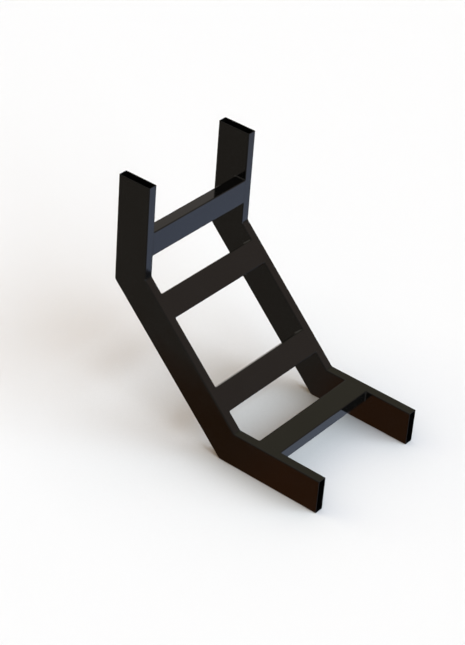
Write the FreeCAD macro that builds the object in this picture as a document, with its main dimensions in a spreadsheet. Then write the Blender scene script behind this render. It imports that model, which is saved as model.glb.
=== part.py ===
import FreeCAD, Part
import math
import os
import types

import Sketcher

# Tailgate step: a rigid welded ladder of flat rectangular tube, in millimetres.
#
# Two side rails stand 308 mm apart. Each rail is three mitred lengths of tube: a foot that lies
# forward on the ground, a middle length that slopes up and back, and an upright. Four rungs
# join the rails, flush with the rails' front faces. Butt welds close the mitres and fillet
# welds hold the rung ends. Nothing moves.
#
# Row frame: origin on the ground, at the middle of the whole outline. +Z is up, +Y points back
# towards the tailgate, -Y is the way that the feet point, and left is -X.

DIMENSIONS = {
    "rail_depth": 75,          # rail tube, front to back
    "rail_width": 20,          # rail tube, side to side
    "rung_face": 52,           # rung tube, the wide face that is flush with the rail fronts
    "rung_thickness": 25,      # rung tube, front to back
    "wall": 2,                 # wall of both tubes
    "outer_radius": 2,         # outside corners of both tubes
    "inner_radius": 0.5,       # inside corners of both tubes
    "overall_width": 308,      # outside to outside of the rails
    "slope_angle": 45,         # middle length above the ground, in degrees
    "foot_length": 234,        # along the underside, open end to lower bend
    "middle_length": 397,      # along the back, lower bend to upper bend
    "upright_length": 231,     # along the back, upper bend to open end
    "foot_rung_gap": 46,       # lower bend to the foot rung, along the front face
    "lower_rung_gap": 41,      # lower bend to the lower middle rung, along the front face
    "upper_rung_gap": 245,     # lower bend to the upper middle rung, along the front face
    "upright_rung_gap": 45.5,  # upper bend to the upright rung, along the front face
    "mitre_weld": 3,           # width of the butt weld that fills a mitre, dressed flush
    "fillet_leg": 2,           # leg of the fillet weld round a rung end
    "fillet_setback": 0.5,     # fillet ends stop this far behind the flush front face
}

# How far a cutting sketch reaches past the tube that it cuts.
CUT_MARGIN = 5

# The cells of the sheet, as they are written in an expression.
dim = types.SimpleNamespace(**{name: f"Dimensions.{name}" for name in DIMENSIONS})

# Half the turn of the rail at each bend is the angle of the mitre there.
LOWER_MITRE = f"({dim.slope_angle} / 2)"
UPPER_MITRE = f"((90 - {dim.slope_angle}) / 2)"

# A mitre makes the front of a length this much shorter than its back.
LOWER_SETBACK = f"({dim.rail_depth} * tan({LOWER_MITRE}))"
UPPER_SETBACK = f"({dim.rail_depth} * tan({UPPER_MITRE}))"

# The space between the rails, which the rungs fill, and the outline front to back.
CLEAR_WIDTH = f"({dim.overall_width} - 2 * {dim.rail_width})"
OVERALL_DEPTH = f"({dim.foot_length} + {dim.middle_length} * cos({dim.slope_angle}))"

# Each seat is where a tube or a weld is drawn: the place of its origin on the back line of the
# rails, and its tilt from upright. In a seat's own frame Z runs up the rail, Y = 0 is the back
# of the rail and Y = -rail_depth is its front, whichever way the rail slopes.
FOOT_END_Y = f"-{OVERALL_DEPTH} / 2"
LOWER_BEND_Y = f"{dim.foot_length} - {OVERALL_DEPTH} / 2"
UPPER_BEND_Y = f"{OVERALL_DEPTH} / 2"
UPPER_BEND_Z = f"{dim.middle_length} * sin({dim.slope_angle})"
SEATS = {
    "foot": (FOOT_END_Y, "0", "-90"),
    "lower_bend": (LOWER_BEND_Y, "0", f"{LOWER_MITRE} - 90"),
    "middle": (LOWER_BEND_Y, "0", f"{dim.slope_angle} - 90"),
    "upper_bend": (UPPER_BEND_Y, UPPER_BEND_Z, f"-{UPPER_MITRE}"),
    "upright": (UPPER_BEND_Y, UPPER_BEND_Z, "0"),
}

# Each rung: the seat of the length that carries it, and its lower edge above that seat's origin.
RUNGS = {
    "foot_rung": (
        "foot",
        f"({dim.foot_length} - {LOWER_SETBACK} - {dim.foot_rung_gap} - {dim.rung_face})",
    ),
    "lower_middle_rung": ("middle", f"({LOWER_SETBACK} + {dim.lower_rung_gap})"),
    "upper_middle_rung": ("middle", f"({LOWER_SETBACK} + {dim.upper_rung_gap})"),
    "upright_rung": ("upright", f"({UPPER_SETBACK} + {dim.upright_rung_gap})"),
}

SIDES = {"left": -1, "right": 1}

doc = FreeCAD.newDocument("TailgateStep")
sheet = doc.addObject("Spreadsheet::Sheet", "Dimensions")
for row, (name, size) in enumerate(DIMENSIONS.items(), start=1):
    sheet.set(f"B{row}", str(size))
    sheet.setAlias(f"B{row}", name)
doc.recompute()


def measure(expression):
    """The number that an expression on the sheet's cells gives."""
    return float(sheet.evalExpression(expression))


# Sketches

def new_body(label, seat, across="0"):
    """An empty body on a seat, moved sideways by the expression across."""
    body = doc.addObject("PartDesign::Body", label)
    body.Label = label
    y, z, tilt = SEATS[seat]
    body.Placement = FreeCAD.Placement(
        FreeCAD.Vector(measure(across), measure(y), measure(z)),
        FreeCAD.Rotation(FreeCAD.Vector(1, 0, 0), measure(tilt)),
    )
    body.setExpression("Placement.Base.x", across)
    body.setExpression("Placement.Base.y", y)
    body.setExpression("Placement.Base.z", z)
    if measure(tilt) != 0:
        body.setExpression("Placement.Rotation.Angle", tilt)
    return body


def new_sketch(body, name, role, offset="0"):
    """A sketch on one of the body's own origin planes, raised along its normal by offset."""
    sketch = body.newObject("Sketcher::SketchObject", name)
    plane = next(item for item in body.Origin.OriginFeatures if item.Role == role)
    sketch.AttachmentSupport = (plane, [""])
    sketch.MapMode = "FlatFace"
    sketch.setExpression("AttachmentOffset.Base.z", offset)
    return sketch


def bind(sketch, constraint, name, expression):
    """Adds a constraint, names it and ties its value to the sheet."""
    index = sketch.addConstraint(constraint)
    sketch.renameConstraint(index, name)
    sketch.setExpression(f"Constraints.{name}", expression)


def add_polygon(sketch, corners):
    """A closed outline with straight sides through corners, each a pair of expressions."""
    points = [FreeCAD.Vector(measure(x), measure(y), 0) for x, y in corners]
    count = len(points)
    for i in range(count):
        sketch.addGeometry(Part.LineSegment(points[i], points[(i + 1) % count]), False)
    for i in range(count):
        sketch.addConstraint(Sketcher.Constraint("Coincident", i, 2, (i + 1) % count, 1))
    for i, (x, y) in enumerate(corners):
        across = Sketcher.Constraint("DistanceX", -1, 1, i, 1, points[i].x)
        along = Sketcher.Constraint("DistanceY", -1, 1, i, 1, points[i].y)
        bind(sketch, across, f"corner_{i}_x", x)
        bind(sketch, along, f"corner_{i}_y", y)


def add_rounded_rectangle(sketch, tag, x_range, y_range, radius):
    """A rectangle with round corners between two pairs of expressions."""
    x_low, x_high = (measure(edge) for edge in x_range)
    y_low, y_high = (measure(edge) for edge in y_range)
    r = measure(radius)
    # Anticlockwise from the bottom side: each side, then the corner that follows it.
    sides = [
        ((x_low + r, y_low), (x_high - r, y_low)),
        ((x_high, y_low + r), (x_high, y_high - r)),
        ((x_high - r, y_high), (x_low + r, y_high)),
        ((x_low, y_high - r), (x_low, y_low + r)),
    ]
    centres = [
        (x_high - r, y_low + r),
        (x_high - r, y_high - r),
        (x_low + r, y_high - r),
        (x_low + r, y_low + r),
    ]
    first = sketch.GeometryCount
    up = FreeCAD.Vector(0, 0, 1)
    for turn, ((start, end), centre) in enumerate(zip(sides, centres)):
        side = Part.LineSegment(FreeCAD.Vector(*start, 0), FreeCAD.Vector(*end, 0))
        circle = Part.Circle(FreeCAD.Vector(*centre, 0), up, r)
        corner = Part.ArcOfCircle(circle, (turn - 1) * math.pi / 2, turn * math.pi / 2)
        sketch.addGeometry(side, False)
        sketch.addGeometry(corner, False)
    bottom, right, top, left = first, first + 2, first + 4, first + 6
    for i in range(8):
        joint = Sketcher.Constraint("Tangent", first + i, 2, first + (i + 1) % 8, 1)
        sketch.addConstraint(joint)
    for level in (bottom, top):
        sketch.addConstraint(Sketcher.Constraint("Horizontal", level))
    for plumb in (left, right):
        sketch.addConstraint(Sketcher.Constraint("Vertical", plumb))
    for corner in (3, 5, 7):
        sketch.addConstraint(Sketcher.Constraint("Equal", first + 1, first + corner))
    bind(sketch, Sketcher.Constraint("Radius", first + 1, r), f"{tag}_radius", radius)
    edges = (
        ("DistanceX", left, x_low, "left", x_range[0]),
        ("DistanceX", right, x_high, "right", x_range[1]),
        ("DistanceY", bottom, y_low, "bottom", y_range[0]),
        ("DistanceY", top, y_high, "top", y_range[1]),
    )
    for kind, line, size, side, expression in edges:
        constraint = Sketcher.Constraint(kind, -1, 1, line, 1, size)
        bind(sketch, constraint, f"{tag}_{side}", expression)


# Features

def pad(body, name, sketch, length, symmetric=False):
    """Extrudes a sketch by an expression, one way or half to each side."""
    feature = body.newObject("PartDesign::Pad", name)
    feature.Profile = sketch
    feature.SideType = "Symmetric" if symmetric else "One side"
    feature.setExpression("Length", length)
    sketch.Visibility = False
    doc.recompute()


def cut_through(body, name, sketch):
    """Cuts a sketch through the whole body, both ways, and makes sure that it took metal."""
    doc.recompute()
    before = body.Shape.Volume
    feature = body.newObject("PartDesign::Pocket", name)
    feature.Profile = sketch
    feature.Type = "ThroughAll"
    feature.SideType = "Symmetric"
    sketch.Visibility = False
    doc.recompute()
    if not 0 < body.Shape.Volume < before:
        raise RuntimeError(f"{body.Label}: {name} cut nothing")


# Tubes

def tube_section(body, name, role, x_range, y_range, wall_x, wall_y):
    """The sketch of a tube's wall: its outer outline and, one wall in, its inner one."""
    sketch = new_sketch(body, name, role)
    add_rounded_rectangle(sketch, "outer", x_range, y_range, dim.outer_radius)
    inner_x = (f"{x_range[0]} + {wall_x}", f"{x_range[1]} - {wall_x}")
    inner_y = (f"{y_range[0]} + {wall_y}", f"{y_range[1]} - {wall_y}")
    add_rounded_rectangle(sketch, "inner", inner_x, inner_y, dim.inner_radius)
    return sketch


def rail_centre(side):
    """How far a rail's middle plane is from the middle of the step, as an expression."""
    return f"{SIDES[side]} * ({dim.overall_width} - {dim.rail_width}) / 2"


def mitre_line(depth, end, mitre):
    """Height of the mitred end at a depth, half a weld short of the true mitre plane.

    end is the length's own height at its back, or None at its lower end, at height 0.
    """
    half_weld = f"{dim.mitre_weld} / (2 * cos({mitre}))"
    if end is None:
        return f"{half_weld} - ({depth}) * tan({mitre})"
    return f"{end} - {half_weld} + ({depth}) * tan({mitre})"


def cut_mitre(body, name, mitre, end=None):
    """Cuts one end of a rail length to its mitre, seen from the side."""
    sketch = new_sketch(body, f"{name}_line", "YZ_Plane")
    back = f"{CUT_MARGIN}"
    front = f"-{dim.rail_depth} - {CUT_MARGIN}"
    beyond = f"-{CUT_MARGIN}" if end is None else f"{end} + {CUT_MARGIN}"
    corners = (
        (back, beyond),
        (back, mitre_line(back, end, mitre)),
        (front, mitre_line(front, end, mitre)),
        (front, beyond),
    )
    add_polygon(sketch, corners)
    cut_through(body, name, sketch)


def make_rail_length(side, seat, length, lower_mitre=None, upper_mitre=None):
    """One straight length of rail tube, square at an open end and mitred at a bend."""
    body = new_body(f"{side}_{seat}_tube", seat, rail_centre(side))
    half_width = f"{dim.rail_width} / 2"
    x_range = (f"-{half_width}", half_width)
    y_range = (f"-{dim.rail_depth}", "0")
    section = tube_section(body, "section", "XY_Plane", x_range, y_range, dim.wall, dim.wall)
    pad(body, "stock", section, length)
    if lower_mitre:
        cut_mitre(body, "lower_mitre", lower_mitre)
    if upper_mitre:
        cut_mitre(body, "upper_mitre", upper_mitre, length)
    return body


def rung_outline(lower_edge):
    """A rung's outline in its seat, as two pairs of expressions: depth, then height."""
    front = f"-{dim.rail_depth}"
    depth_range = (front, f"{front} + {dim.rung_thickness}")
    height_range = (lower_edge, f"{lower_edge} + {dim.rung_face}")
    return depth_range, height_range


def make_rung(name, seat, lower_edge):
    """One rung, cut square to fit between the rails."""
    body = new_body(f"{name}_tube", seat)
    depth_range, height_range = rung_outline(lower_edge)
    section = tube_section(
        body, "section", "YZ_Plane", depth_range, height_range, dim.wall, dim.wall
    )
    pad(body, "stock", section, CLEAR_WIDTH, symmetric=True)
    return body


# Welds

def make_mitre_weld(side, bend, mitre):
    """The ring of weld metal that fills a mitre, dressed flush with the tube all round.

    At the back it leaves a narrow flat across the corner, and at the front it fills the
    corner by as much, so the ring sits this far forward of the true mitre line.
    """
    body = new_body(f"{side}_{bend}_weld", bend, rail_centre(side))
    forward = f"({dim.mitre_weld} / 2 * tan({mitre}))"
    half_width = f"{dim.rail_width} / 2"
    x_range = (f"-{half_width}", half_width)
    y_range = (f"-{dim.rail_depth} / cos({mitre}) - {forward}", f"-{forward}")
    wall_along_mitre = f"{dim.wall} / cos({mitre})"
    section = tube_section(
        body, "section", "XY_Plane", x_range, y_range, dim.wall, wall_along_mitre
    )
    pad(body, "fill", section, dim.mitre_weld, symmetric=True)
    return body


def make_rung_weld(name, seat, lower_edge, side):
    """The weld at one end of a rung: a fillet on three sides and a flush seam in front.

    The fillet is a tapered block that the rung's outline is cut out of. The seam fills the
    groove that the rail's round front corner leaves beside the rung's square end.
    """
    body = new_body(f"{name}_{side}_weld", seat)
    sign = SIDES[side]
    rail_face = f"({CLEAR_WIDTH} / 2)"
    front = f"-{dim.rail_depth}"
    set_back = f"{front} + {dim.fillet_setback}"
    back = f"{front} + {dim.rung_thickness}"
    upper_edge = f"{lower_edge} + {dim.rung_face}"
    leg = dim.fillet_leg
    radius = dim.outer_radius

    on_rail = new_sketch(body, "outline_on_rail", "YZ_Plane", f"{sign} * {rail_face}")
    wide = (
        (set_back, f"{lower_edge} - {leg}"),
        (f"{back} + {leg}", f"{lower_edge} - {leg}"),
        (f"{back} + {leg}", f"{upper_edge} + {leg}"),
        (set_back, f"{upper_edge} + {leg}"),
    )
    add_polygon(on_rail, wide)
    inside = f"{sign} * ({rail_face} - {leg} - {radius})"
    in_rung = new_sketch(body, "outline_in_rung", "YZ_Plane", inside)
    narrow = (
        (set_back, f"{lower_edge} + {radius}"),
        (f"{back} - {radius}", f"{lower_edge} + {radius}"),
        (f"{back} - {radius}", f"{upper_edge} - {radius}"),
        (set_back, f"{upper_edge} - {radius}"),
    )
    add_polygon(in_rung, narrow)
    block = body.newObject("PartDesign::AdditiveLoft", "fillet_block")
    block.Profile = on_rail
    block.Sections = [in_rung]
    block.Ruled = True
    on_rail.Visibility = False
    in_rung.Visibility = False

    outline = new_sketch(body, "rung_outline", "YZ_Plane")
    depth_range, height_range = rung_outline(lower_edge)
    add_rounded_rectangle(outline, "rung", depth_range, height_range, radius)
    cut_through(body, "rung_space", outline)

    # A line at 45 degrees that just touches the round corner leaves legs of (2 - sqrt 2) r.
    seam_leg = f"(2 - sqrt(2)) * {radius}"
    seam = new_sketch(body, "seam_section", "XY_Plane", f"{lower_edge} - {leg}")
    groove = (
        (f"{sign} * {rail_face}", front),
        (f"{sign} * ({rail_face} + {seam_leg})", front),
        (f"{sign} * {rail_face}", f"{front} + {seam_leg}"),
    )
    add_polygon(seam, groove)
    pad(body, "front_seam", seam, f"{dim.rung_face} + 2 * {leg}")
    return body


def check(parts):
    """Stops if any object failed, or a part is not one valid solid."""
    for item in doc.Objects:
        if {"Invalid", "Error"} & set(item.State):
            raise RuntimeError(f"{item.Label} failed: {item.State}")
    for part in parts:
        shape = part.Shape
        if shape.isNull() or not shape.isValid() or len(shape.Solids) != 1:
            raise RuntimeError(f"{part.Label} is not one valid solid")


def build():
    """Every piece of the step, in the order that a welder would lay them out."""
    parts = []
    for side in SIDES:
        parts += [
            make_rail_length(side, "foot", dim.foot_length, upper_mitre=LOWER_MITRE),
            make_rail_length(side, "middle", dim.middle_length, LOWER_MITRE, UPPER_MITRE),
            make_rail_length(side, "upright", dim.upright_length, lower_mitre=UPPER_MITRE),
            make_mitre_weld(side, "lower_bend", LOWER_MITRE),
            make_mitre_weld(side, "upper_bend", UPPER_MITRE),
        ]
    for name, (seat, lower_edge) in RUNGS.items():
        parts.append(make_rung(name, seat, lower_edge))
        parts += [make_rung_weld(name, seat, lower_edge, side) for side in SIDES]
    return parts


parts = build()
doc.recompute()
check(parts)
os.makedirs("parts", exist_ok=True)
for part in parts:
    part.Shape.exportStep(f"parts/{part.Label}.step")
    print(f"{part.Label:32} {part.Shape.Volume:10.1f} mm3")
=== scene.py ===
import cmath
import math

import bmesh
import bpy
from mathutils import Matrix, Vector


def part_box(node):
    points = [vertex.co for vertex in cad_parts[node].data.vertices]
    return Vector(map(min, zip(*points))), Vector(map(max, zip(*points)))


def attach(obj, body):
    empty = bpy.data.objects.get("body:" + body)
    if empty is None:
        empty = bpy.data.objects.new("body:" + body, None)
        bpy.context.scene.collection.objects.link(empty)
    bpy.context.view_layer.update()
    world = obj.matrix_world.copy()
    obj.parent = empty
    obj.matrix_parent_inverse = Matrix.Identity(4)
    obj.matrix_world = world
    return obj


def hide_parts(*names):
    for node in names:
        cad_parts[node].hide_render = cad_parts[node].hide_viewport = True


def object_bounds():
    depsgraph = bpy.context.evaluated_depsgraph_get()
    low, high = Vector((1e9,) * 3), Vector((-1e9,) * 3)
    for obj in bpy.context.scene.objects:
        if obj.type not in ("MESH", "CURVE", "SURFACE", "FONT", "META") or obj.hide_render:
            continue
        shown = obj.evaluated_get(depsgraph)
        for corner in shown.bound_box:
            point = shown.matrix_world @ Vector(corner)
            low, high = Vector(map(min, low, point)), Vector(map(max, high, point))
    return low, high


# Looks for the tailgate step: a welded ladder of flat rectangular steel tube in gloss black
# powder coat. Everything is in metres, in the row frame. The tubes and the dressed mitre welds
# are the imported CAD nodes. The fillet welds at the rung ends are rebuilt here as rippled beads.

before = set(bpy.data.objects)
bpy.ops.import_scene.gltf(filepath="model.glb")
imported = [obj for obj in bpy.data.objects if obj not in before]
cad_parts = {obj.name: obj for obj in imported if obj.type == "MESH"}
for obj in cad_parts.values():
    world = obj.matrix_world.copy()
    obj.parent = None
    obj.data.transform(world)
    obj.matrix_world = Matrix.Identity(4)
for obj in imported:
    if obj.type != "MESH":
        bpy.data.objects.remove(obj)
cad_low, cad_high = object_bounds()

MM = 0.001
SIDES = {"left": -1, "right": 1}

# How far each run of tube leans back from upright, in degrees, and the run that holds each rung.
LEAN = {"foot": 90, "middle": 45, "upright": 0}
RUNGS = {
    "foot_rung": "foot",
    "lower_middle_rung": "middle",
    "upper_middle_rung": "middle",
    "upright_rung": "upright",
}


# Node trees

def add(tree, kind, inputs=None, **settings):
    """A new node of a kind. inputs maps a socket's name or number to a value or an output."""
    node = tree.nodes.new(kind)
    for name, value in settings.items():
        setattr(node, name, value)
    for key, value in (inputs or {}).items():
        if isinstance(value, bpy.types.NodeSocket):
            tree.links.new(value, node.inputs[key])
        else:
            node.inputs[key].default_value = value
    return node


def spread(tree, value, start, end, low, high, smooth=False):
    """Takes a value that runs from start to end, and makes it run from low to high."""
    node = add(
        tree,
        "ShaderNodeMapRange",
        {"Value": value, "From Min": start, "From Max": end, "To Min": low, "To Max": high},
        interpolation_type="SMOOTHSTEP" if smooth else "LINEAR",
    )
    return node.outputs["Result"]


def combine(tree, operation, *values):
    """The result of a Math node on values and outputs."""
    inputs = dict(enumerate(values))
    return add(tree, "ShaderNodeMath", inputs, operation=operation).outputs["Value"]


def dot(tree, first, second):
    """The dot product of two vectors."""
    inputs = {0: first, 1: second}
    return add(tree, "ShaderNodeVectorMath", inputs, operation="DOT_PRODUCT").outputs["Value"]


def blend_colours(tree, share, first, second):
    """The first colour where share is 0, and the second where it is 1."""
    factor, colour_a, colour_b, result = 0, 6, 7, 2
    inputs = {factor: share, colour_a: first, colour_b: second}
    return add(tree, "ShaderNodeMix", inputs, data_type="RGBA").outputs[result]


def noise(tree, place, scale, detail=2.0, roughness=0.5):
    """Noise about 0.5, with scale cells to the metre."""
    inputs = {"Vector": place, "Scale": scale, "Detail": detail, "Roughness": roughness}
    return add(tree, "ShaderNodeTexNoise", inputs).outputs["Fac"]


def bump(tree, height, distance, normal=None):
    """A normal bumped by a height, which is in units of distance, over an earlier normal."""
    inputs = {"Height": height, "Distance": distance}
    if normal is not None:
        inputs["Normal"] = normal
    return add(tree, "ShaderNodeBump", inputs).outputs["Normal"]


# Paint

PAINT_DARK = (0.0013, 0.0012, 0.0011, 1)
PAINT_LIGHT = (0.0022, 0.0021, 0.0020, 1)
PAINT_WORN = (0.009, 0.0088, 0.0085, 1)
EDGE_RADIUS = 1.2 * MM    # how far in from an edge the wear reaches
TUBE_WAVES = 0.12 * MM
DRAWN_LINES = 0.003 * MM
DRESSING_LINES = 0.01 * MM
ORANGE_PEEL = 0.012 * MM
NIB_HEIGHT = 0.012 * MM
SCUFF_DEPTH = 0.002 * MM

# Cells to the metre of the noise behind each part of the coat.
WAVE_SCALE = 11.0
CLOUD_SCALE = 7.0
WEAR_SCALE = 60.0
SMUDGE_SCALE = 16.0
PEEL_SCALE = 420.0
NIB_SCALE = 130.0
SCUFF_PATCH_SCALE = 22.0
LINES_ACROSS, LINES_ALONG = 900.0, 9.0
SCUFFS_ACROSS, SCUFFS_ALONG = 700.0, 14.0
SCUFF_TURNS = (0.5, 1.35, 2.4)    # radians about every axis, one for each set of scuffs
NIB_CUT = 0.6                     # a cell has a nib if its own fixed value is over this

# Least and most roughness of the coat, and what wear, scuffs and sawn ends add to it.
TUBE_GLOSS = (0.04, 0.10)
BEAD_GLOSS = (0.12, 0.20)
WORN_ROUGHNESS = 0.14
SCUFFED_ROUGHNESS = 0.10
SAWN_ROUGHNESS = 0.9


def edge_mask(tree):
    """1 on the edges and corners that handling wears, and 0 on the flats."""
    flat = add(tree, "ShaderNodeNewGeometry").outputs["True Normal"]
    rounded = add(tree, "ShaderNodeBevel", {"Radius": EDGE_RADIUS}, samples=6).outputs["Normal"]
    return spread(tree, dot(tree, flat, rounded), 0.80, 0.995, 1.0, 0.0)


def cut_mask(tree, axis):
    """1 on the sawn ends of a tube that runs along axis, and 0 on its sides."""
    facing = dot(tree, add(tree, "ShaderNodeNewGeometry").outputs["True Normal"], axis)
    return spread(tree, combine(tree, "ABSOLUTE", facing), 0.95, 0.99, 0.0, 1.0)


def streaks(tree, place, axis, across=LINES_ACROSS, along=LINES_ALONG):
    """Fine lines that run along one axis, with cells to the metre across them and along them."""
    scale = [across, across, across]
    scale[axis] = along
    stretched = add(tree, "ShaderNodeMapping", {"Vector": place, "Scale": scale})
    return noise(tree, stretched.outputs["Vector"], 1.0)


def nibs(tree, place):
    """1 on the small grains that set hard in the coat here and there, and 0 between them."""
    inputs = {"Vector": place, "Scale": NIB_SCALE}
    cells = add(tree, "ShaderNodeTexVoronoi", inputs)
    grain = spread(tree, cells.outputs["Distance"], 0.03, 0.13, 1.0, 0.0, True)
    drawn = add(tree, "ShaderNodeSeparateColor", {"Color": cells.outputs["Color"]})
    chosen = combine(tree, "GREATER_THAN", drawn.outputs["Red"], NIB_CUT)
    return combine(tree, "MULTIPLY", grain, chosen)


def scuffs(tree, place):
    """Hairline scuffs that cross each other in loose patches: 1 on a line, and 0 between."""
    lines = None
    for turn in SCUFF_TURNS:
        turned = add(tree, "ShaderNodeMapping", {"Vector": place, "Rotation": (turn, turn, turn)})
        hairs = streaks(tree, turned.outputs["Vector"], 0, SCUFFS_ACROSS, SCUFFS_ALONG)
        line = spread(tree, hairs, 0.66, 0.74, 0.0, 1.0)
        lines = line if lines is None else combine(tree, "MAXIMUM", lines, line)
    patches = spread(tree, noise(tree, place, SCUFF_PATCH_SCALE), 0.48, 0.62, 0.0, 1.0)
    return combine(tree, "MULTIPLY", lines, patches)


def powder_coat(name, lean=0.0, axis=2, line_depth=DRAWN_LINES, gloss=TUBE_GLOSS, sawn=False):
    """Gloss black powder coat over steel with fine lines along one axis.

    lean turns the coordinates so that Z runs up a tube that leans back by that angle. The lines
    run along axis, and a line_depth of 0 leaves them out. gloss is the least and most roughness,
    and sawn roughens the ends that face along the tube.
    """
    material = bpy.data.materials.new(name)
    material.use_nodes = True
    tree = material.node_tree
    shader = tree.nodes["Principled BSDF"]
    row_place = add(tree, "ShaderNodeTexCoord").outputs["Object"]
    turned = add(tree, "ShaderNodeMapping", {"Vector": row_place, "Rotation": (lean, 0, 0)})
    place = turned.outputs["Vector"]

    clouds = spread(tree, noise(tree, place, CLOUD_SCALE, 3.0), 0.35, 0.65, 0.0, 1.0)
    patches = spread(tree, noise(tree, place, WEAR_SCALE, 4.0), 0.5, 0.7, 0.0, 1.0)
    worn = combine(tree, "MULTIPLY", edge_mask(tree), patches)
    colour = blend_colours(tree, clouds, PAINT_DARK, PAINT_LIGHT)
    colour = blend_colours(tree, worn, colour, PAINT_WORN)
    tree.links.new(colour, shader.inputs["Base Color"])

    scuffed = scuffs(tree, place)
    smudges = spread(tree, noise(tree, place, SMUDGE_SCALE, 5.0, 0.6), 0.3, 0.7, *gloss)
    roughness = combine(tree, "MULTIPLY_ADD", worn, WORN_ROUGHNESS, smudges)
    roughness = combine(tree, "MULTIPLY_ADD", scuffed, SCUFFED_ROUGHNESS, roughness)
    if sawn:
        cut = cut_mask(tree, Matrix.Rotation(-lean, 3, "X").col[axis])
        roughness = combine(tree, "MULTIPLY_ADD", cut, SAWN_ROUGHNESS, roughness)
    tree.links.new(roughness, shader.inputs["Roughness"])

    normal = bump(tree, noise(tree, place, WAVE_SCALE, 1.0), TUBE_WAVES)
    if line_depth:
        normal = bump(tree, streaks(tree, place, axis), line_depth, normal)
    normal = bump(tree, noise(tree, place, PEEL_SCALE), ORANGE_PEEL, normal)
    normal = bump(tree, nibs(tree, place), NIB_HEIGHT, normal)
    normal = bump(tree, scuffed, -SCUFF_DEPTH, normal)
    tree.links.new(normal, shader.inputs["Normal"])
    return material


def dress(piece, material):
    """Puts one material in every slot of a piece."""
    slots = piece.data.materials
    if not slots:
        slots.append(material)
    for index in range(len(slots)):
        slots[index] = material


def paint_cad_nodes():
    """Paints every CAD tube, and every mitre weld, which is dressed flush."""
    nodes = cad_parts
    for run, degrees in LEAN.items():
        coat = powder_coat(f"powder_coat_{run}", lean=math.radians(degrees), sawn=True)
        for side in SIDES:
            dress(nodes[f"{side}_{run}_tube"], coat)
    rung_coat = powder_coat("powder_coat_rung", axis=0)
    for rung in RUNGS:
        dress(nodes[f"{rung}_tube"], rung_coat)
    dressed_coat = powder_coat("powder_coat_dressed_weld", axis=1, line_depth=DRESSING_LINES)
    for side in SIDES:
        for bend in ("lower_bend", "upper_bend"):
            dress(nodes[f"{side}_{bend}_weld"], dressed_coat)


# Weld beads

CORNER = 2.0 * MM         # outside corners of the tubes
LEG = 2.0 * MM            # leg of the fillet
BULGE = 0.3 * MM          # how far the bead stands out over the flat between its toes
SINK = 0.25 * MM          # how far the bead's hidden faces lie inside the tubes
SET_BACK = 0.5 * MM       # from the flush front back to the end of the fillet
RIPPLE_PITCH = 1.8 * MM
RIPPLE_DEPTH = 0.13       # share of the leg that the valleys between ripples lose
CRESCENT = 0.7 * MM       # how far the middle of a ripple trails its toes
RUN_OUT = 1.8 * MM        # length over which the bead swells from a stop
RIPPLE_STEPS = 6
SECTION_STEPS = 8
SEAM_HOLLOW = 0.06 * MM   # how far the dressed seam in front sinks below the tubes
STOP_SIZE = 0.35          # size of the bead where it stops, as a share of its full size
SEAM_BACK = 0.75          # how deep the seam's hidden edges lie, as a share of the corner


def sweep(rings):
    """Vertices and faces of a closed tube through rings of equal count, capped at both ends."""
    count = len(rings[0])
    points = [point for ring in rings for point in ring]
    faces = [tuple(range(count)), tuple(range(len(points) - 1, len(points) - count - 1, -1))]
    for start in range(0, len(points) - count, count):
        for j in range(count):
            k = (j + 1) % count
            faces.append((start + k, start + j, start + count + j, start + count + k))
    return points, faces


def walk_outline(half_thickness, half_face, step):
    """Places along the outline of a rung's end, over its top, down its back and under it.

    Each is a distance, a point and the outward normal. Points and normals are complex numbers,
    depth + height i, so that a turn is one multiplication.
    """
    side = 2 * half_thickness - SET_BACK - CORNER
    back = 2 * (half_face - CORNER)
    quarter = CORNER * math.pi / 2
    point = complex(SET_BACK - half_thickness, half_face)
    normal = 1j
    travelled = 0.0
    places = []
    stretches = ((side, False), (quarter, True), (back, False), (quarter, True), (side, False))
    for length, turns in stretches:
        steps = max(2, round(length / step))
        start, facing = point, normal
        for i in range(steps + 1):
            along = length * i / steps
            if turns:
                normal = facing * cmath.exp(-1j * along / CORNER)
                point = start + CORNER * (normal - facing)
            else:
                point = start - 1j * facing * along
            if i < steps:
                places.append((travelled + along, point, normal))
        travelled += length
    places.append((travelled, point, normal))
    return places


def bead_section(distance, total):
    """The bead's cross-section at a distance, as pairs: along the rung, and out from it."""
    to_end = min(distance, total - distance)
    swell = STOP_SIZE + (1 - STOP_SIZE) * math.sin(math.pi / 2 * min(1.0, to_end / RUN_OUT))
    section = []
    for i in range(SECTION_STEPS + 1):
        across = i / SECTION_STEPS
        crown = math.sin(math.pi * across)
        phase = math.pi * (distance - CRESCENT * crown) / RIPPLE_PITCH
        ripple = 1 - RIPPLE_DEPTH * (1 - abs(math.sin(phase)))
        size = LEG * swell * ripple
        out = BULGE * swell * ripple * crown / math.sqrt(2)
        section.append((size * (1 - across) + out, size * across + out))
    section += [(-SINK, section[-1][1]), (-SINK, -SINK), (section[0][0], -SINK)]
    return section


def fillet_rings(places, put, sign, rail_face):
    """The rings of the rippled fillet round three sides of a rung's end."""
    total = places[-1][0]
    rings = []
    for distance, point, normal in places:
        ring = []
        for along_rung, out in bead_section(distance, total):
            spot = point + normal * out
            ring.append(put(rail_face - sign * along_rung, spot.real, spot.imag))
        rings.append(ring)
    return rings


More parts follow.
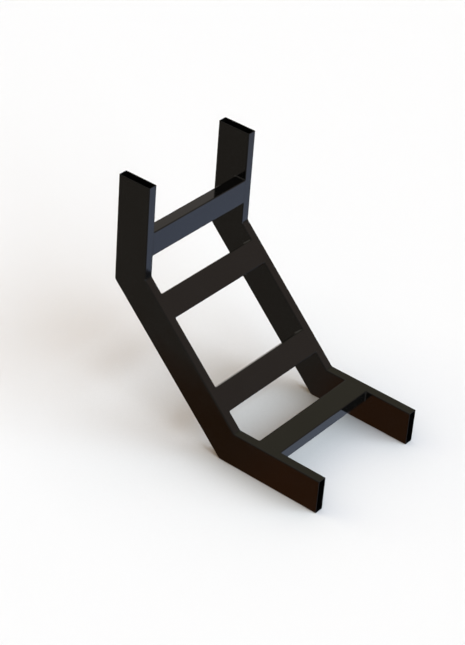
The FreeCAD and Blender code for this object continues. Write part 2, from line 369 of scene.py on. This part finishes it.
def seam_rings(half_thickness, half_face, put, sign, rail_face):
    """The rings of the dressed seam that fills the rail's round front corner beside a rung."""
    front = -half_thickness
    hidden = SEAM_BACK * CORNER
    reach = half_face + LEG - RUN_OUT
    count = round(2 * reach / RIPPLE_PITCH) * RIPPLE_STEPS
    rings = []
    for i in range(count + 1):
        height = reach * (2 * i / count - 1)
        hollow = SEAM_HOLLOW * (0.6 + 0.4 * math.cos(2 * math.pi * i / RIPPLE_STEPS))
        ring = []
        for j in range(SECTION_STEPS + 1):
            across = j / SECTION_STEPS
            sink = hollow * math.sin(math.pi * across)
            ring.append(put(rail_face + sign * CORNER * across, front + sink, height))
        ring.append(put(rail_face + sign * hidden, front + hidden, height))
        ring.append(put(rail_face - sign * SINK, front + hidden, height))
        rings.append(ring)
    return rings


def make_rung_weld(rung, side, half_thickness, half_face, coat):
    """The weld at one end of a rung: a rippled fillet, and a dressed seam in front."""
    sign = SIDES[side]
    low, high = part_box(f"{rung}_tube")
    centre = (low + high) / 2
    rail_face = high.x if sign > 0 else low.x
    turn = Matrix.Rotation(-math.radians(LEAN[RUNGS[rung]]), 3, "X")

    def put(x, depth, height):
        """A place on the rung's own axes, in the row frame."""
        return Vector((x, centre.y, centre.z)) + turn @ Vector((0, depth, height))

    places = walk_outline(half_thickness, half_face, RIPPLE_PITCH / RIPPLE_STEPS)
    points, faces = sweep(fillet_rings(places, put, sign, rail_face))
    seam_points, seam_faces = sweep(seam_rings(half_thickness, half_face, put, sign, rail_face))
    faces += [tuple(len(points) + corner for corner in face) for face in seam_faces]
    points += seam_points

    mesh = bpy.data.meshes.new(f"{rung}_{side}_bead")
    mesh.from_pydata(points, [], faces)
    make_outward(mesh)
    mesh.shade_smooth()
    bead = bpy.data.objects.new(f"{rung}_{side}_bead", mesh)
    bpy.context.scene.collection.objects.link(bead)
    dress(bead, coat)
    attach(bead, "root")
    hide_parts(f"{rung}_{side}_weld")


def make_outward(mesh):
    """Turns every face of a closed mesh to look outwards."""
    shell = bmesh.new()
    shell.from_mesh(mesh)
    bmesh.ops.recalc_face_normals(shell, faces=shell.faces)
    shell.to_mesh(mesh)
    shell.free()


def make_rung_welds():
    """All eight rung-end welds. The upright rung's box is square to the axes, so it gives the
    size of the rung tube."""
    low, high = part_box("upright_rung_tube")
    half_thickness = (high.y - low.y) / 2
    half_face = (high.z - low.z) / 2
    coat = powder_coat("powder_coat_bead", line_depth=0, gloss=BEAD_GLOSS)
    for rung in RUNGS:
        for side in SIDES:
            make_rung_weld(rung, side, half_thickness, half_face, coat)


# Studio

def heading(azimuth, elevation):
    """The unit vector to a place in the room: azimuth 0 is +Y and 90 is +X, in degrees."""
    azimuth, elevation = math.radians(azimuth), math.radians(elevation)
    level = math.cos(elevation)
    return Vector((level * math.sin(azimuth), level * math.cos(azimuth), math.sin(elevation)))


FLOOR_REACH = 120.0
FLOOR_GAP = 0.2 * MM
FLOOR_COLOUR = (0.80, 0.80, 0.80, 1)
# Painted shade: the colour that the floor is darkened to where the step stands close by, within
# CONTACT_REACH.
CONTACT_SHADE = (0.38, 0.38, 0.38, 1)
CONTACT_REACH = 0.35


def make_floor():
    """A plain pale floor just under the step, with painted shade in its colour close to the step.
    It lights the step but doesn't mirror in it.

    It is one huge triangle, so that no inner edge shows as a line.
    """
    mesh = bpy.data.meshes.new("floor")
    corners = [FLOOR_REACH * heading(azimuth, 0) for azimuth in (240, 120, 0)]
    mesh.from_pydata(corners, [], [(0, 1, 2)])
    floor = bpy.data.objects.new("floor", mesh)
    floor.location.z = cad_low.z - FLOOR_GAP
    floor.visible_glossy = False
    bpy.context.scene.collection.objects.link(floor)
    material = bpy.data.materials.new("pale_floor")
    material.use_nodes = True
    tree = material.node_tree
    shader = tree.nodes["Principled BSDF"]
    inputs = {"Distance": CONTACT_REACH}
    # Painted shade: ambient occlusion darkens the floor's own colour near the step, deepening the
    # shadow that the lights cast.
    openness = add(tree, "ShaderNodeAmbientOcclusion", inputs, samples=12).outputs["AO"]
    colour = blend_colours(tree, openness, CONTACT_SHADE, FLOOR_COLOUR)
    tree.links.new(colour, shader.inputs["Base Color"])
    shader.inputs["Roughness"].default_value = 1.0
    shader.inputs["Specular IOR Level"].default_value = 0.0
    dress(floor, material)


# Soft areas of the room that the gloss mirrors, each over the ones before it: name, heading,
# radius that is full and radius where it has faded, in degrees, and colour. They were chosen so
# that the faces in the main view have their tints. Other views mirror the same areas.
ROOM = (
    ("brown rug", heading(-57, -40), 1.6, 3.4, (0.27, 0.105, 0.043)),
    ("brown rug beyond it", heading(-60, -37), 2, 3.5, (0.26, 0.105, 0.043)),
    ("left wall", heading(-92, -8), 8, 22, (0.40, 0.40, 0.41)),
    ("right wall low down", heading(92, -8), 8, 22, (0.42, 0.41, 0.39)),
    ("pale wall in front on the left", heading(-135, -10), 8, 27, (0.58, 0.60, 0.62)),
    ("pale wall behind on the right", heading(42, -4), 6, 21, (0.52, 0.49, 0.44)),
    ("ceiling panel", heading(20, 80), 18, 34, (0.80, 0.78, 0.74)),
    ("back wall", heading(60, 45), 16, 40, (0.37, 0.34, 0.25)),
    ("lit back wall", heading(48, 26), 2, 10, (0.66, 0.60, 0.58)),
    ("floor behind", heading(49, -29), 8, 20, (0.495, 0.465, 0.435)),
    ("right wall", heading(131, 29), 10, 24, (0.43, 0.345, 0.295)),
    ("cool floor in front", heading(127, -32), 12, 34, (0.52, 0.61, 0.84)),
    ("grey floor further off", heading(128, -24), 1, 8, (0.50, 0.50, 0.56)),
    ("cool floor near by", heading(122, -42), 2, 9, (0.56, 0.65, 0.83)),
    ("front window", heading(176, 8), 14, 24, (1.6, 1.8, 2.1)),
    ("rear window", heading(-18, 10), 10, 20, (1.3, 1.25, 1.1)),
)
WALLS = (0.225, 0.20, 0.168, 1)
BROWN_FLOOR = (0.175, 0.083, 0.036, 1)
TOWARDS_BROWN_FLOOR = Vector((0, 0.35, -1))    # down, and somewhat to the back
BROWN_FLOOR_EDGE = (0.759, 0.767)              # a direction's reach that way: edge, and full
SKY = (0.46, 0.325, 0.24, 1)
BACKDROP = (0.98, 0.98, 0.98, 1)


def mirrored_room(tree):
    """The colour of the room in each direction, as the step's gloss mirrors it.

    Plain walls stand all round over a brown floor, and the areas of ROOM lie over both.
    """
    towards = add(tree, "ShaderNodeTexCoord").outputs["Generated"]
    reach = dot(tree, towards, TOWARDS_BROWN_FLOOR)
    below = spread(tree, reach, *BROWN_FLOOR_EDGE, 0, 1, True)
    colour = blend_colours(tree, below, WALLS, BROWN_FLOOR)
    for _name, middle, full, faded, tint in ROOM:
        edge, core = math.cos(math.radians(faded)), math.cos(math.radians(full))
        share = spread(tree, dot(tree, towards, middle), edge, core, 0, 1, True)
        colour = blend_colours(tree, share, colour, (*tint, 1))
    return colour


def make_room():
    """Soft light from all round, with a room for the gloss to mirror and a plain backdrop."""
    world = bpy.data.worlds.new("room")
    bpy.context.scene.world = world
    world.use_nodes = True
    tree = world.node_tree
    tree.nodes.clear()
    rays = add(tree, "ShaderNodeLightPath").outputs
    shown = add(tree, "ShaderNodeBackground", {"Color": SKY}).outputs["Background"]
    for ray, colour in (("Is Glossy Ray", mirrored_room(tree)), ("Is Camera Ray", BACKDROP)):
        other = add(tree, "ShaderNodeBackground", {"Color": colour}).outputs["Background"]
        mixed = add(tree, "ShaderNodeMixShader", {0: rays[ray], 1: shown, 2: other})
        shown = mixed.outputs["Shader"]
    add(tree, "ShaderNodeOutputWorld", {"Surface": shown})


def make_soft_light(name, azimuth, elevation, width, strength, colour):
    """A very wide, far light with soft shadows. It isn't mirrored: the room is what mirrors."""
    light = bpy.data.lights.new(name, "SUN")
    light.angle = math.radians(width)
    light.energy = strength
    light.color = colour
    lamp = bpy.data.objects.new(name, light)
    lamp.rotation_mode = "QUATERNION"
    lamp.rotation_quaternion = heading(azimuth, elevation).to_track_quat("Z", "Y")
    lamp.visible_glossy = False
    bpy.context.scene.collection.objects.link(lamp)


def make_lights():
    """Soft light from the front, and a weaker one from behind the step."""
    make_soft_light("front_light", 174, 23, 75, 7.1, (0.72, 0.87, 1.0))
    make_soft_light("rear_light", -20, 36, 40, 0.65, (1.0, 0.92, 0.62))


# The camera: angles in degrees, distances in metres, lens and sensor in millimetres.
AZIMUTH = -53.2       # from straight in front of the step; negative is towards its left
ELEVATION = 34.68
ROLL = 4.64
DISTANCE = 3.979      # from the point that it looks at
AIM_RIGHT = -0.0702   # how far right of the middle of the step that point is, in the picture
AIM_UP = -0.0216      # and how far above it
LENS = 117.1
SENSOR = 36.0


def make_camera():
    """A long lens from the front left, above the step."""
    back = heading(180 - AZIMUTH, ELEVATION)
    level = Vector((0, 0, 1)).cross(back).normalized()
    roll = Matrix.Rotation(math.radians(ROLL), 3, back)
    right = roll @ level
    up = roll @ back.cross(level)
    centre = (cad_low + cad_high) / 2
    data = bpy.data.cameras.new("camera")
    data.lens = LENS
    data.sensor_width = SENSOR
    camera = bpy.data.objects.new("camera", data)
    bpy.context.scene.collection.objects.link(camera)
    place = centre + AIM_RIGHT * right + AIM_UP * up + DISTANCE * back
    turn = Matrix((right, up, back)).transposed()
    camera.matrix_world = Matrix.Translation(place) @ turn.to_4x4()
    bpy.context.scene.camera = camera


paint_cad_nodes()
make_rung_welds()
make_floor()
make_room()
make_lights()
make_camera()
bpy.context.scene.view_settings.view_transform = "Standard"
